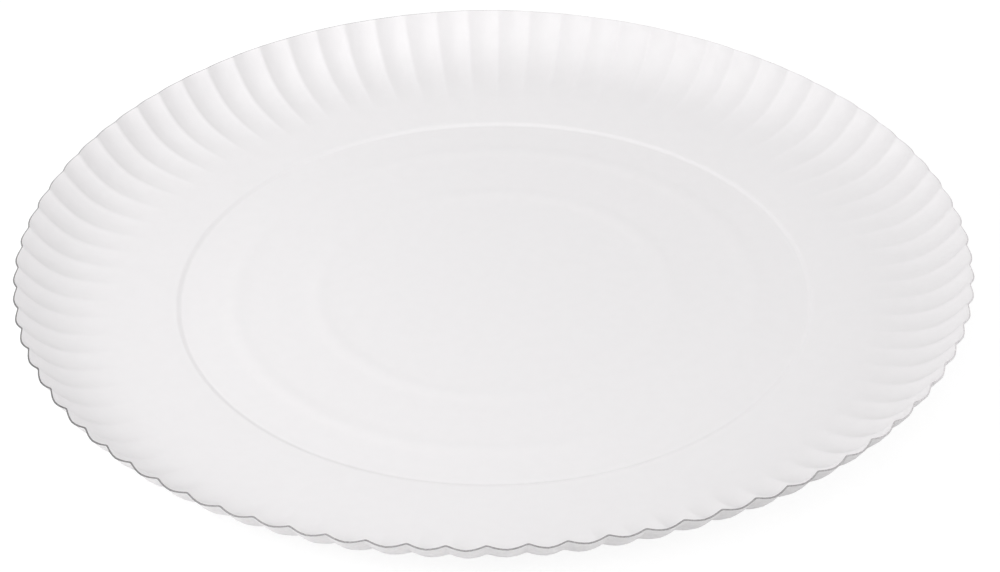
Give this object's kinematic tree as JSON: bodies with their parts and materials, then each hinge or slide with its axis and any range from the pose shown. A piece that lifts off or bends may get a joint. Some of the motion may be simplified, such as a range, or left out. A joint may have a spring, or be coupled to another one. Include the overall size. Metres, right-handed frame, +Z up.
{
  "type": "cardboard food tray",
  "caption": "Round shallow food tray pressed from one disc of white board, with a flat ringed base, a plain apron and a flared rim of radial flutes with a scalloped edge.",
  "frame": {"origin": "centre of the tray, on the surface that its base stands on", "axes": "+Z up, out of the open side of the tray; +X and +Y lie in the plane of the base"},
  "size_m": [0.3008, 0.3008, 0.0185],
  "materials": {
    "white_board": "satin"
  },
  "bodies": {
    "root": {"tray": "white_board"}
  },
  "joints": []
}
